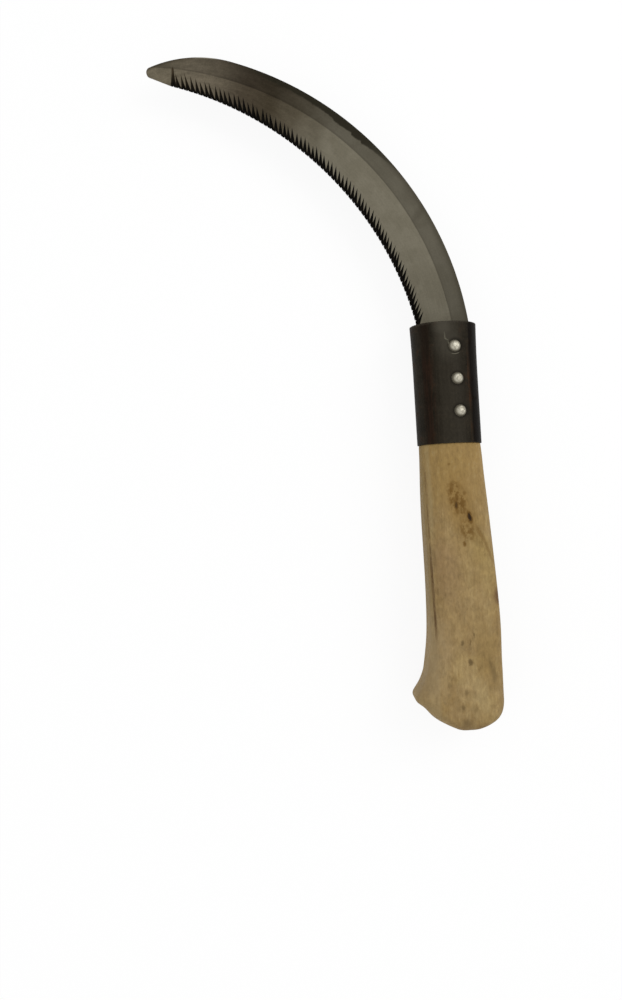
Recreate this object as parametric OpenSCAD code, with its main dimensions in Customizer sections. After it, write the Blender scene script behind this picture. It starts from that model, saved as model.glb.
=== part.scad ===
// Serrated grass sickle: a crescent blade with chisel-cut teeth, riveted through a
// steel ferrule into a wooden handle with a heel.
// The sickle lies on its back. +Z is up, +Y runs from the handle to the blade and the
// toothed edge faces -X. The origin is under the middle of the sickle, at the level
// of the lowest rivet tail. Lengths are millimetres and angles are degrees.

/* [Blade outline] */
// Thickness of the blade steel
blade_t = 1.5; // [1.2:0.1:2.4]
// Radius of the outer curve, the spine
spine_r = 156; // [148:1:170]
// Distance from the ferrule's axis to the spine, where the blade leaves the ferrule
root_spine = 12.5; // [11:0.1:13]
// Lean of the spine from the ferrule's axis, where the blade leaves the ferrule
spine_lean = 6.4; // [4:0.2:9]
// Length of the spine from the ferrule to the start of the tip's curve
spine_len = 176; // [150:1:180]
// Radius of the spine's curve at the tip
tip_r = 57; // [50:1:66]
// Radius of the toothed inner curve
edge_r = 160; // [152:1:170]
// Distance from the ferrule's axis to the toothed edge, where the blade leaves the ferrule
root_edge = 11.8; // [10:0.1:12.8]
// Lean of the toothed edge from the ferrule's axis, where the blade leaves the ferrule
edge_lean = 11.5; // [10:0.1:14]
// Turn of the straight plain edge, from the end of the toothed curve up to the point
plain_turn = 7; // [0:0.5:12]
// Radius of the rounded point
nose_r = 2.4; // [0.8:0.1:3]

/* [Grind] */
// Width of the flat band that the grind leaves along the spine, where the tip's curve starts
flat_band = 8.6; // [6:0.1:11]
// Width of the flat band where the blade leaves the ferrule
flat_band_root = 7.8; // [6:0.1:10]
// Thickness left at the toothed edge
edge_t = 0.4; // [0.3:0.05:0.8]

/* [Teeth] */
// Length of the toothed edge from the ferrule
toothed_len = 170; // [140:1:172]
// Distance between teeth along the edge
tooth_pitch = 2.4; // [1.8:0.1:4]
// Angle between the two walls of a groove
groove_angle = 122; // [60:1:126]
// Distance that a groove runs in from the edge, at the ferrule
groove_run_root = 4.6; // [3:0.1:6]
// Distance that a groove runs in from the edge, at the tip
groove_run_tip = 6.6; // [4:0.1:7.5]
// Lean of a groove towards the tip, at the ferrule
groove_lean_root = 50; // [20:1:55]
// Lean of a groove towards the tip, at the tip
groove_lean_tip = 28; // [5:1:40]
// How far a groove's bottom passes below the blade's back at the edge
groove_notch = 0.16; // [0.05:0.01:0.4]

/* [Tang] */
// Depth of the blade's full width inside the ferrule
root_depth = 4; // [2:0.5:6]
// Step from the blade's full width in to the tang, at each side
tang_step = 0.8; // [0.4:0.1:2]
// Length of the tang past the last rivet
tang_past_rivet = 7.2; // [5:0.2:8]
// Width of the tang at its end
tang_end_w = 13; // [9:0.5:16]
// Corner cut at the tang's end
tang_chamfer = 2; // [0.5:0.5:4]

/* [Ferrule] */
// Length of the ferrule
ferrule_len = 56; // [54:0.5:64]
// Outside diameter at the mouth, where the blade leaves it
mouth_d = 30.8; // [30.4:0.1:33]
// Outside diameter below the flare, down to the handle's end
collar_d = 29.9; // [29.4:0.1:32]
// Length of the flare below the mouth, which ends between the first two rivets
flare_len = 18; // [16:0.5:20]
// Thickness of the ferrule's wall
wall_t = 1.2; // [0.8:0.1:1.6]
// Chamfer on the ferrule's two rims
rim_chamfer = 0.3; // [0.1:0.05:0.5]

/* [Rivets] */
// Distance from the ferrule's mouth to the first rivet
rivet_first = 11.2; // [9:0.1:13]
// Distance between rivets along the ferrule
rivet_pitch = 14.8; // [12:0.1:15.5]
// Distance of the first rivet from the ferrule's axis, towards the spine
rivet_offset = 3.1; // [0:0.1:5]
// Drift of the rivet row towards the spine, from one rivet to the next
rivet_drift = 0.45; // [0:0.05:0.8]
// Diameter of a rivet's shank
shank_d = 3; // [2:0.1:3.6]
// Diameter of a rivet's round head
head_d = 5.7; // [4.8:0.1:7]
// Height of a rivet's round head
head_h = 1.7; // [1.2:0.1:2.2]
// Diameter of the hammered tail on the back
tail_d = 5; // [4.4:0.1:6.5]
// Height of the hammered tail on the back
tail_h = 1.1; // [0.8:0.1:1.6]

/* [Handle] */
// Length of the handle below the ferrule, at its lowest point
grip_len = 132.2; // [124:0.2:150]
// Thickness of the handle between its two flat faces
grip_t = 29.4; // [26:0.2:30]
// Radius of the handle's long rounded edges
grip_round = 8; // [5:0.5:12]
// Step from the ferrule's outside down to the wood, all round
shoulder_step = 0.45; // [0:0.05:1.2]
// Width of the handle from the ferrule's axis to its front, at the fingers
finger_w = 14.8; // [13:0.1:18]
// Width of the handle from the ferrule's axis to its back, at the palm
palm_w = 17.8; // [15:0.1:22]
// Reach of the heel from the ferrule's axis
heel_reach = 23.6; // [20:0.1:32]
// Depth of the handle's top end below the ferrule's mouth
tenon_sink = 1; // [0.5:0.1:3]
// Depth of the saw kerf past the tang's end
kerf_past_tang = 1.5; // [0.5:0.1:2]

/* [Fits] */
// Gap between the tang and each side of the kerf
kerf_gap = 0.05; // [0.03:0.01:0.3]
// Gap all round between the handle's tenon and the ferrule
tenon_gap = 0.1; // [0.05:0.01:0.4]
// Gap all round between a rivet's shank and its holes
shank_gap = 0.05; // [0.03:0.01:0.2]

/* [Hidden] */
$fn = 64;

steel = [0.42, 0.40, 0.36];
black_iron = [0.13, 0.11, 0.09];
rivet_white = [0.78, 0.77, 0.72];
raw_wood = [0.62, 0.50, 0.33];

// Cutting tools run this far past what they cut
past = 3;

function unit(angle) = [cos(angle), sin(angle)];
function arc_angle(length, radius) = length / radius * 180 / PI;

// Centre of the spine's arc, and the angle about it where the tip's curve starts
spine_c = [root_spine, 0] - spine_r * unit(spine_lean);
spine_end = spine_lean + arc_angle(spine_len, spine_r);
// The tip's curve runs on from the spine without a corner
tip_c = spine_c + (spine_r - tip_r) * unit(spine_end);

// Centre of the toothed arc, and where the teeth end on it
edge_c = [-root_edge, 0] - edge_r * unit(edge_lean);
edge_end = edge_lean + arc_angle(toothed_len, edge_r);
edge_stop = edge_c + edge_r * unit(edge_end);
// The plain edge runs on from there, and its inward side faces the spine
plain_dir = unit(edge_end + 90 - plain_turn);
plain_in = unit(edge_end - plain_turn);

// Centre of the rounded point, which touches the tip's curve and the plain edge from
// inside, and where it meets them
from_tip_c = edge_stop + nose_r * plain_in - tip_c;
nose_reach = -from_tip_c * plain_dir
    + sqrt(pow(from_tip_c * plain_dir, 2) - from_tip_c * from_tip_c + pow(tip_r - nose_r, 2));
nose_c = tip_c + from_tip_c + nose_reach * plain_dir;
nose_top = tip_c + (nose_c - tip_c) * tip_r / (tip_r - nose_r);
nose_under = nose_c - nose_r * plain_in;

// The bevel falls from a ridge along the spine to the toothed edge. Each level of it
// is a circle between those two, by its share of the way down. The ridge's arc is
// flatter than the spine's, so that the band changes its width along the blade.
ridge_slip = (flat_band - flat_band_root) / (1 - cos(spine_end - spine_lean));
ridge_c = spine_c - ridge_slip * unit(spine_end);
ridge_r = spine_r - flat_band + ridge_slip;
function level_c(share) = ridge_c + (edge_c - ridge_c) * share;
function level_r(share) = ridge_r + (edge_r - ridge_r) * share;
function level_z(share) = blade_t / 2 - (blade_t - edge_t) * share;

tooth_count = floor(toothed_len / tooth_pitch);

// The ferrule is straight up from the handle, and flares to its mouth
function ferrule_r(depth) = (collar_d + (mouth_d - collar_d) * max(0, 1 - depth / flare_len)) / 2;

rivet_count = 3;
function rivet_depth(i) = rivet_first + i * rivet_pitch;
function rivet_x(i) = rivet_offset + i * rivet_drift;
function rivet_tilt(i) = asin(rivet_x(i) / ferrule_r(rivet_depth(i)));

tang_len = rivet_depth(rivet_count - 1) + tang_past_rivet;
kerf_len = tang_len + kerf_past_tang;
// The tenon follows the ferrule's bore
function tenon_r(depth) = ferrule_r(depth) - wall_t - tenon_gap;

// Sections down the handle: distance below the ferrule, reach to the front, reach to
// the back, half the thickness and radius of the long edges
neck_r = collar_d / 2 - shoulder_step;
half_t = grip_t / 2;
sections = [
    [0, neck_r, neck_r, min(neck_r, half_t), neck_r],
    [14, finger_w - 0.1, neck_r + 0.4, half_t, grip_round + 4.5],
    [36, finger_w, palm_w - 2.1, half_t, grip_round + 1],
    [60, finger_w - 0.2, palm_w - 0.9, half_t, grip_round],
    [82, finger_w + 0.2, palm_w, half_t, grip_round],
    [grip_len - 36, finger_w + 1.6, palm_w - 0.3, half_t, grip_round],
    [grip_len - 27, heel_reach - 5.7, palm_w - 0.3, half_t, grip_round],
    [grip_len - 21, heel_reach - 3, palm_w - 0.5, half_t, grip_round],
    [grip_len - 15.8, heel_reach, palm_w - 0.6, half_t, grip_round],
    [grip_len - 12.6, heel_reach * 0.89, palm_w * 0.955, half_t, grip_round],
    [grip_len - 7, heel_reach * 0.67, palm_w * 0.895, half_t * 0.98, grip_round],
    [grip_len - 3.4, heel_reach * 0.43, palm_w * 0.71, half_t * 0.88, grip_round],
    [grip_len - 1, heel_reach * 0.23, palm_w * 0.4, half_t * 0.72, grip_round],
    [grip_len, heel_reach * 0.03, palm_w * 0.03, half_t * 0.5, grip_round],
];
steps_a_section = 4;
corner_steps = 6;

// Radius of the ball whose cap has this width and height
function ball_r(width, height) = (pow(width / 2, 2) + pow(height, 2)) / 2 / height;
// Lowest level of a rivet's tail, which stands square to the ferrule's surface
function tail_low(i) =
    let (ball = ball_r(tail_d, tail_h))
    (ferrule_r(rivet_depth(i)) + tail_h - ball) * cos(rivet_tilt(i)) + ball;

// Where the whole sickle reaches to the sides, to the ends and below
low_x = nose_c[0] - nose_r;
high_x = max([for (s = sections) s[2]]);
low_y = -ferrule_len - grip_len;
high_y = tip_c[1] + tip_r;
lift = max([for (i = [0:rivet_count - 1]) tail_low(i)]);

// Smooth curve through four neighbouring sections, from b at 0 to c at 1
function between(a, b, c, d, t) =
    b + ((c - a) * t + (2 * a - 5 * b + 4 * c - d) * pow(t, 2) + (3 * b - a - 3 * c + d) * pow(t, 3)) / 2;

function section(t) =
    let (last = len(sections) - 1, i = min(floor(t), last - 1),
        a = sections[max(i - 1, 0)], b = sections[i],
        c = sections[i + 1], d = sections[min(i + 2, last)])
    between(a, b, c, d, t - i);

// A rounded rectangle square to the handle, whose flats stay in the two flat faces
function grip_ring(s) =
    let (high = min(s[3], half_t), wide = (s[1] + s[2]) / 2, middle = (s[2] - s[1]) / 2,
        round = min(s[4], high - 0.1, wide - 0.1))
    [for (quarter = [0:3]) for (k = [0:corner_steps])
        let (angle = 90 * (quarter + k / corner_steps),
            side_x = quarter == 0 || quarter == 3 ? 1 : -1,
            side_z = quarter < 2 ? 1 : -1)
        [middle + side_x * (wide - round) + round * cos(angle),
            -ferrule_len - s[0],
            side_z * (high - round) + round * sin(angle)]];

// Triangles between rings of equal length, with a fan over each end
function skin_faces(rings, ring) =
    let (end = (rings - 1) * ring)
    concat(
        [for (k = [1:ring - 2]) [0, k, k + 1]],
        [for (j = [0:rings - 2]) for (k = [0:ring - 1])
            let (a = j * ring + k, b = j * ring + (k + 1) % ring)
            each [[a, a + ring, b], [b, a + ring, b + ring]]],
        [for (k = [1:ring - 2]) [end, end + k + 1, end + k]]
    );

// Moves a piece from the ferrule's mouth to its place in the resting sickle
module rest() {
    translate([-(low_x + high_x) / 2, -(low_y + high_y) / 2, lift])
        children();
}

// Turns a piece that is drawn along Z to run down the ferrule's axis
module down_axis(depth) {
    translate([0, -depth, 0])
        rotate([90, 0, 0])
            children();
}

// A disc whose edge tightens to a smaller radius past an angle, without a corner
module tightening_disc(centre, radius, turn, tight_c, tight_r) {
    intersection() {
        translate(centre)
            circle(radius);
        union() {
            translate(tight_c)
                circle(tight_r);
            translate(tight_c)
                rotate(turn)
                    translate([-2 * radius, -4 * radius])
                        square([4 * radius, 4 * radius]);
        }
    }
}

// The crescent from its root in the ferrule to the point, with true arcs
module crescent() {
    difference() {
        tightening_disc(spine_c, spine_r, spine_end, tip_c, tip_r);
        translate(edge_c)
            circle(edge_r);
        // What lies below the plain edge and past the rounded point
        polygon([
            edge_stop,
            nose_under,
            nose_top,
            nose_top + [-8 * past, 0],
            edge_stop + [-8 * past, -4 * past],
        ]);
        // What would lie below the root
        translate([-3 * spine_r, -root_depth - 3 * spine_r])
            square([6 * spine_r, 3 * spine_r]);
    }
    translate(nose_c)
        circle(nose_r);
}

// The tang, which narrows to its end and is centred there on the middle rivet
module tang_outline() {
    root_low = tang_step - root_edge;
    root_high = root_spine - tang_step;
    end_low = rivet_x(1) - tang_end_w / 2;
    end_high = rivet_x(1) + tang_end_w / 2;
    polygon([
        [root_low, past - root_depth],
        [root_low, -root_depth],
        [end_low, tang_chamfer - tang_len],
        [end_low + tang_chamfer, -tang_len],
        [end_high - tang_chamfer, -tang_len],
        [end_high, tang_chamfer - tang_len],
        [root_high, -root_depth],
        [root_high, past - root_depth],
    ]);
}

// One thin level of the hollow that the grind leaves
module grind_level(share) {
    translate([level_c(share)[0], level_c(share)[1], level_z(share)])
        cylinder(h = 0.001, r = level_r(share), $fn = 240);
}

// What the grind takes off, from above the face down past the toothed edge
module grind() {
    hull() {
        grind_level(-1);
        grind_level(1.3);
    }
}

// The V that one chisel cut takes out, from the edge in to where it meets the bevel
module groove(share) {
    angle = edge_lean + arc_angle(toothed_len * share, edge_r);
    lean = groove_lean_root + (groove_lean_tip - groove_lean_root) * share;
    inward = groove_run_root + (groove_run_tip - groove_run_root) * share;
    run = inward / cos(lean);
    start = edge_c + edge_r * unit(angle);
    start_z = -blade_t / 2 - groove_notch;
    bevel_w = ridge_r - norm(start - ridge_c);
    finish_z = level_z(max(0, 1 - inward / bevel_w));
    rise = atan2(finish_z - start_z, run);
    half_w = past * tan(groove_angle / 2);
    translate([start[0], start[1], start_z])
        rotate([0, -rise, angle + lean])
            translate([-past, 0, 0])
                rotate([90, 0, 90])
                    linear_extrude(run / cos(rise) + 2 * past)
                        polygon([[0, 0], [half_w, past], [-half_w, past]]);
}

// A hole along one rivet
module rivet_bore(i, gap) {
    translate([rivet_x(i), -rivet_depth(i), -mouth_d])
        cylinder(h = 2 * mouth_d, d = shank_d + 2 * gap);
}

module rivet_bores(gap) {
    for (i = [0:rivet_count - 1])
        rivet_bore(i, gap);
}

module blade() {
    color(steel)
        rest()
            difference() {
                translate([0, 0, -blade_t / 2])
                    linear_extrude(blade_t) {
                        crescent();
                        tang_outline();
                    }
                grind();
                // The last groove stands where the plain edge starts
                for (i = [1:tooth_count])
                    groove(i / tooth_count);
                rivet_bores(2 * shank_gap);
            }
}

// A tube with a flared mouth and chamfered rims
module ferrule() {
    color(black_iron)
        rest()
            difference() {
                down_axis(0)
                    rotate_extrude()
                        polygon([
                            [ferrule_r(0) - wall_t, 0],
                            [ferrule_r(0) - rim_chamfer, 0],
                            [ferrule_r(rim_chamfer), rim_chamfer],
                            [ferrule_r(flare_len), flare_len],
                            [ferrule_r(ferrule_len), ferrule_len - rim_chamfer],
                            [ferrule_r(ferrule_len) - rim_chamfer, ferrule_len],
                            [ferrule_r(ferrule_len) - wall_t, ferrule_len],
                            [ferrule_r(flare_len) - wall_t, flare_len],
                        ]);
                rivet_bores(shank_gap);
            }
}

// A domed end on a short skirt, turned from one profile
module dome(width, height, skirt) {
    ball = ball_r(width, height);
    rotate_extrude()
        intersection() {
            translate([0, height - ball])
                circle(ball);
            translate([0, -skirt])
                square([width / 2, height + 2 * skirt]);
        }
}

// One end of a rivet, turned about the ferrule's axis and seated on its outer surface
module rivet_end(i, tilt, width, height) {
    depth = rivet_depth(i);
    skirt = 0.6;
    seat = 0.6 * width;
    difference() {
        translate([0, -depth, 0])
            rotate([0, tilt, 0])
                translate([0, 0, ferrule_r(depth)])
                    dome(width, height, skirt);
        down_axis(depth - seat)
            cylinder(h = 2 * seat, r1 = ferrule_r(depth - seat), r2 = ferrule_r(depth + seat));
    }
}

// One rivet: a shank through the ferrule, the wood and the tang, with a round head on
// the face and a hammered tail on the back
module rivet(i) {
    surface_r = ferrule_r(rivet_depth(i));
    color(rivet_white)
        rest() {
            rivet_end(i, rivet_tilt(i), head_d, head_h);
            rivet_end(i, 180 - rivet_tilt(i), tail_d, tail_h);
            translate([rivet_x(i), -rivet_depth(i), -surface_r])
                cylinder(h = 2 * surface_r, d = shank_d);
        }
}

module upper_rivet() {
    rivet(0);
}

module middle_rivet() {
    rivet(1);
}

module lower_rivet() {
    rivet(2);
}

// The grip as one skin over its sections
module grip() {
    last = len(sections) - 1;
    rings = [for (j = [0:last * steps_a_section]) grip_ring(section(j / steps_a_section))];
    ring = len(rings[0]);
    polyhedron(points = [for (r = rings) each r], faces = skin_faces(len(rings), ring), convexity = 6);
}

// The round tenon in the ferrule, with its root inside the grip
module tenon() {
    down_axis(0)
        rotate_extrude()
            polygon([
                [0, tenon_sink],
                [tenon_r(tenon_sink), tenon_sink],
                [tenon_r(flare_len), flare_len],
                [tenon_r(ferrule_len), ferrule_len + past],
                [0, ferrule_len + past],
            ]);
}

// The grip and its tenon, with the saw kerf for the tang and the rivet holes
module handle() {
    kerf_w = blade_t + 2 * kerf_gap;
    color(raw_wood)
        rest()
            difference() {
                union() {
                    grip();
                    tenon();
                }
                translate([-mouth_d, -kerf_len, -kerf_w / 2])
                    cube([2 * mouth_d, kerf_len + past, kerf_w]);
                rivet_bores(shank_gap);
            }
}

blade();
ferrule();
handle();
upper_rivet();
middle_rivet();
lower_rivet();
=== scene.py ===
import functools
import logging
import math
import random
from collections.abc import Callable, Iterable, Sequence
from dataclasses import dataclass
from enum import Enum
from typing import Any

import bmesh
import bpy
from mathutils import Matrix, Vector


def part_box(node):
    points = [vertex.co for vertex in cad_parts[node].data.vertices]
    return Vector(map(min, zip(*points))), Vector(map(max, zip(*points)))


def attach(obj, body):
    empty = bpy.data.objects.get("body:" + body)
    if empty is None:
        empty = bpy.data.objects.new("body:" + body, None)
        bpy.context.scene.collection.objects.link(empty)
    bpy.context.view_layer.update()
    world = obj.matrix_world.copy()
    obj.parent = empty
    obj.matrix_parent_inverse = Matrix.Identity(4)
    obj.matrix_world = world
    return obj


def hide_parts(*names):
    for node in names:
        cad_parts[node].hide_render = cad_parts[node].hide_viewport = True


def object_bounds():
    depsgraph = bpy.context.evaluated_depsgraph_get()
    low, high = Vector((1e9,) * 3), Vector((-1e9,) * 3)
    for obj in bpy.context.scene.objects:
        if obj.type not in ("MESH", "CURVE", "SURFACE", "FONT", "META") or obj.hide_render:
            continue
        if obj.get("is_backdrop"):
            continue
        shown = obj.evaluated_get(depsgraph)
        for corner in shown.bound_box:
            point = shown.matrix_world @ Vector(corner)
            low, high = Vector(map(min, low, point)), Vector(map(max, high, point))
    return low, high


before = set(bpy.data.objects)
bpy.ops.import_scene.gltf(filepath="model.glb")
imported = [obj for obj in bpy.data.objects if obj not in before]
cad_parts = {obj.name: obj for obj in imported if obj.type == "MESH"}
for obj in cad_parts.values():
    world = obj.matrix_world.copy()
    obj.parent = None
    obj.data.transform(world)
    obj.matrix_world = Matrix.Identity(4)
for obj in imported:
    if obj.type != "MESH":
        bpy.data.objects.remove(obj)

log = logging.getLogger("sickle")

MM = 0.001
PHOTO_SIZE = (622, 1000)
# Points nearer than this become one, in metres: on coarse work, and beside fine rims
DOUBLED = 0.00002
DOUBLED_FINE = 0.000004

# Red, green and blue as a screen shows them, 0 to 255
Tint = tuple[float, float, float]


class Slot(Enum):
    """The record's material slots."""

    BLADE = "blade_steel"
    FERRULE = "ferrule_steel"
    WOOD = "handle_wood"
    RIVET = "rivet_metal"


class Pick(Enum):
    """What a selection in edit mode is made of."""

    POINTS = "VERT"
    EDGES = "EDGE"
    FACES = "FACE"


class BladeFace(Enum):
    """The blade's two finishes, in the order of its material slots."""

    STEEL = 0
    GROOVE = 1


def turn(angle: float) -> Vector:
    """Returns the flat unit vector at an angle in degrees."""
    return Vector((math.cos(math.radians(angle)), math.sin(math.radians(angle))))


def heading(flat: Vector) -> float:
    """Returns the angle of a flat vector in degrees."""
    return math.degrees(math.atan2(flat.y, flat.x))


def linear(tint: Tint) -> tuple[float, float, float, float]:
    """Turns a screen's colour into a shader's linear colour.

    Args:
        tint: The colour on the screen.

    Returns:
        The linear colour with full alpha.
    """
    shares = (value / 255 for value in tint)
    curve = (share / 12.92 if share <= 0.04045 else ((share + 0.055) / 1.055) ** 2.4 for share in shares)
    return (*curve, 1.0)


@dataclass(frozen=True)
class Datum:
    """The centre of the ferrule's mouth, which every drawn size starts from.

    Lengths on it are millimetres: x towards the spine, y towards the blade, z up.
    """

    x: float
    y: float
    z: float

    @classmethod
    def from_frame(cls) -> "Datum":
        """Finds the mouth from the ferrule's place in the frame."""
        low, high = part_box("ferrule")
        return cls((low.x + high.x) / 2, high.y, (low.z + high.z) / 2)

    def at(self, x: float, y: float, z: float = 0.0) -> Vector:
        """Turns millimetres from the mouth into a place in the frame, in metres."""
        return Vector((self.x + x * MM, self.y + y * MM, self.z + z * MM))


# The bench: one mesh at a time, shaped in edit mode


@dataclass
class Workpiece:
    """One mesh on the bench, shaped in edit mode and finished with modifiers."""

    made: bpy.types.Object
    kind: Pick = Pick.POINTS

    @classmethod
    def begin(cls, name: str, primitive: Callable[..., set[str]], **sizes: Any) -> "Workpiece":
        """Adds a primitive at its size and place, with its object at the origin.

        Args:
            name: The piece's name.
            primitive: The operator that adds the primitive.
            **sizes: The operator's own settings, in metres.

        Returns:
            The workpiece.
        """
        bpy.ops.object.select_all(action="DESELECT")
        primitive(**sizes)
        made = bpy.context.object
        made.name = name
        made.data.name = name
        bpy.ops.object.transform_apply(location=True, rotation=True, scale=True)
        return cls(made)

    def hold(self) -> None:
        """Makes this the only selected object."""
        bpy.ops.object.select_all(action="DESELECT")
        self.made.select_set(True)
        bpy.context.view_layer.objects.active = self.made

    def edit(self, kind: Pick) -> None:
        """Opens the mesh to pick points, edges or faces."""
        self.hold()
        self.kind = kind
        bpy.ops.object.mode_set(mode="EDIT")
        bpy.ops.mesh.select_mode(type=kind.value)

    def close(self) -> None:
        """Goes back from edit mode."""
        bpy.ops.object.mode_set(mode="OBJECT")

    def pick(self, test: Callable[[Vector, Vector], bool]) -> int:
        """Selects the points, edges or faces that pass a test, and nothing else.

        Args:
            test: Takes the middle of each, and its normal or, for an edge, its direction.

        Returns:
            How many are selected.
        """
        mesh = bmesh.from_edit_mesh(self.made.data)
        for group in (mesh.verts, mesh.edges, mesh.faces):
            for part in group:
                part.select = False
        count = 0
        if self.kind is Pick.POINTS:
            for point in mesh.verts:
                point.select = test(point.co, point.normal)
                count += point.select
        elif self.kind is Pick.EDGES:
            for edge in mesh.edges:
                first, second = edge.verts[0].co, edge.verts[1].co
                if test((first + second) / 2, (second - first).normalized()):
                    edge.select_set(True)
                    count += 1
        else:
            for face in mesh.faces:
                if test(face.calc_center_median(), face.normal):
                    face.select_set(True)
                    count += 1
        mesh.select_flush_mode()
        bmesh.update_edit_mesh(self.made.data)
        return count

    def pick_all(self) -> None:
        """Selects the whole mesh."""
        bpy.ops.mesh.select_all(action="SELECT")

    def move(self, step: Vector) -> None:
        """Moves what is selected by a step in metres."""
        bpy.ops.transform.translate(value=step)

    def resize(self, scale: Sequence[float], centre: Vector) -> None:
        """Scales what is selected about a centre."""
        bpy.ops.transform.resize(value=scale, center_override=centre)

    def flatten(self, centre: Vector, facing: Vector, keep: float) -> None:
        """Presses what is selected towards a plane, down to a share of its height."""
        plane = facing.to_track_quat("Z", "Y").to_matrix()
        bpy.ops.transform.resize(
            value=(1, 1, keep), orient_type="GLOBAL", orient_matrix=plane, center_override=centre
        )

    def draw_on(self, step: Vector) -> None:
        """Extrudes what is selected by a step in metres."""
        bpy.ops.mesh.extrude_region_move(TRANSFORM_OT_translate={"value": step})

    def sweep(self, centre: Vector, degrees: float, steps: int) -> None:
        """Spins the selected end of a line about an upright axis, counterclockwise from above."""
        bpy.ops.mesh.spin(steps=steps, angle=-math.radians(degrees), center=centre, axis=(0, 0, 1))

    def slice(self, through: Vector, normal: Vector, trim: bool = False, fill: bool = False) -> None:
        """Cuts the whole mesh with a plane, and may trim the normal's side and fill the cut."""
        self.pick_all()
        bpy.ops.mesh.bisect(plane_co=through, plane_no=normal, use_fill=fill, clear_outer=trim)

    def merge(self, distance: float = DOUBLED) -> None:
        """Merges doubled points and turns every face outwards."""
        self.pick_all()
        bpy.ops.mesh.remove_doubles(threshold=distance)
        self.pick_all()
        bpy.ops.mesh.normals_make_consistent(inside=False)

    def modify(self, kind: str, **settings: Any) -> None:
        """Adds a modifier and applies it.

        Args:
            kind: The modifier's type.
            **settings: Its settings.
        """
        self.hold()
        modifier = self.made.modifiers.new(kind.lower(), kind)
        for key, value in settings.items():
            setattr(modifier, key, value)
        bpy.ops.object.modifier_apply(modifier=modifier.name)

    def combine(self, tool: "Workpiece", how: str, crossed: bool = False) -> None:
        """Cuts this piece with a tool, which may cross itself, or joins it on, and puts the tool away."""
        self.modify("BOOLEAN", operation=how, object=tool.made, solver="EXACT", use_self=crossed)
        bpy.data.objects.remove(tool.made)

    def copy(self, name: str, place: Matrix) -> "Workpiece":
        """Copies the piece with a mesh of its own.

        Args:
            name: The copy's name.
            place: Where the copy goes, from where this piece is.

        Returns:
            The copy.
        """
        twin = self.made.copy()
        twin.data = self.made.data.copy()
        twin.data.transform(place)
        twin.name = name
        bpy.context.scene.collection.objects.link(twin)
        return Workpiece(twin)

    def gather(self, others: Sequence["Workpiece"]) -> None:
        """Joins other pieces into this mesh, as they stand."""
        self.hold()
        for other in others:
            other.made.select_set(True)
        bpy.ops.object.join()

    def smooth(self, degrees: float) -> None:
        """Shades the piece smooth over edges flatter than an angle."""
        self.hold()
        bpy.ops.object.shade_smooth_by_angle(angle=math.radians(degrees))

    def dress(self, *finishes: bpy.types.Material) -> None:
        """Puts on the piece's finishes in the order of its slots."""
        for slot, finish in enumerate(finishes):
            if slot < len(self.made.data.materials):
                self.made.data.materials[slot] = finish
            else:
                self.made.data.materials.append(finish)

    def hand_over(self, node: str, slot: Slot) -> None:
        """Puts the piece in the frame in place of a node.

        Args:
            node: The CAD node that it stands for.
            slot: Not used.
        """
        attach(self.made, "root")
        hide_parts(node)
        log.info("%s stands for %s: %d faces", self.made.name, node, len(self.made.data.polygons))


# How a finish is written


class Value:
    """A number that varies over a surface. Operators on it add Math nodes."""

    def __init__(self, recipe: "Recipe", socket: bpy.types.NodeSocket) -> None:
        """Wraps a socket of a recipe's nodes."""
        self.recipe = recipe
        self.socket = socket

    def _math(self, operation: str, *terms: "Value | float") -> "Value":
        """Adds one Math node."""
        made = self.recipe.node("ShaderNodeMath", {"operation": operation}, dict(enumerate(terms)))
        return Value(self.recipe, made.outputs[0])

    def __add__(self, other: "Value | float") -> "Value":
        """Adds."""
        return self._math("ADD", self, other)

    __radd__ = __add__

    def __mul__(self, other: "Value | float") -> "Value":
        """Multiplies."""
        return self._math("MULTIPLY", self, other)

    __rmul__ = __mul__

    def __sub__(self, other: "Value | float") -> "Value":
        """Subtracts."""
        return self._math("SUBTRACT", self, other)

    def __rsub__(self, other: float) -> "Value":
        """Subtracts this from a number."""
        return self._math("SUBTRACT", other, self)

    def __truediv__(self, other: "Value | float") -> "Value":
        """Divides."""
        return self._math("DIVIDE", self, other)

    def __abs__(self) -> "Value":
        """Drops the sign."""
        return self._math("ABSOLUTE", self)

    def larger(self, other: "Value | float") -> "Value":
        """Takes the larger of two."""
        return self._math("MAXIMUM", self, other)

    def angle_from(self, other: "Value") -> "Value":
        """Gives the angle in degrees of a point at (other, self)."""
        return self._math("DEGREES", self._math("ARCTAN2", self, other))

    def rise(self, low: "Value | float", high: "Value | float") -> "Value":
        """Goes softly from 0, at the first number, to 1 at the second."""
        made = self.recipe.node(
            "ShaderNodeMapRange",
            {"interpolation_type": "SMOOTHSTEP"},
            {"Value": self, "From Min": low, "From Max": high},
        )
        return Value(self.recipe, made.outputs["Result"])

    def fall(self, high: "Value | float", low: "Value | float") -> "Value":
        """Goes softly from 1, at the first number, to 0 at the second."""
        return 1 - self.rise(high, low)

    def span(self, low: float, high: float, last: float, end: float) -> "Value":
        """Rises over the first two numbers and falls over the last two."""
        return self.rise(low, high) * self.fall(last, end)

    def between(self, low: float, high: float) -> "Value":
        """Stretches a share of 0 to 1 over a range."""
        return self * (high - low) + low


def largest(values: Iterable[Value]) -> Value:
    """Takes the largest of several."""
    return functools.reduce(Value.larger, values)


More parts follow.
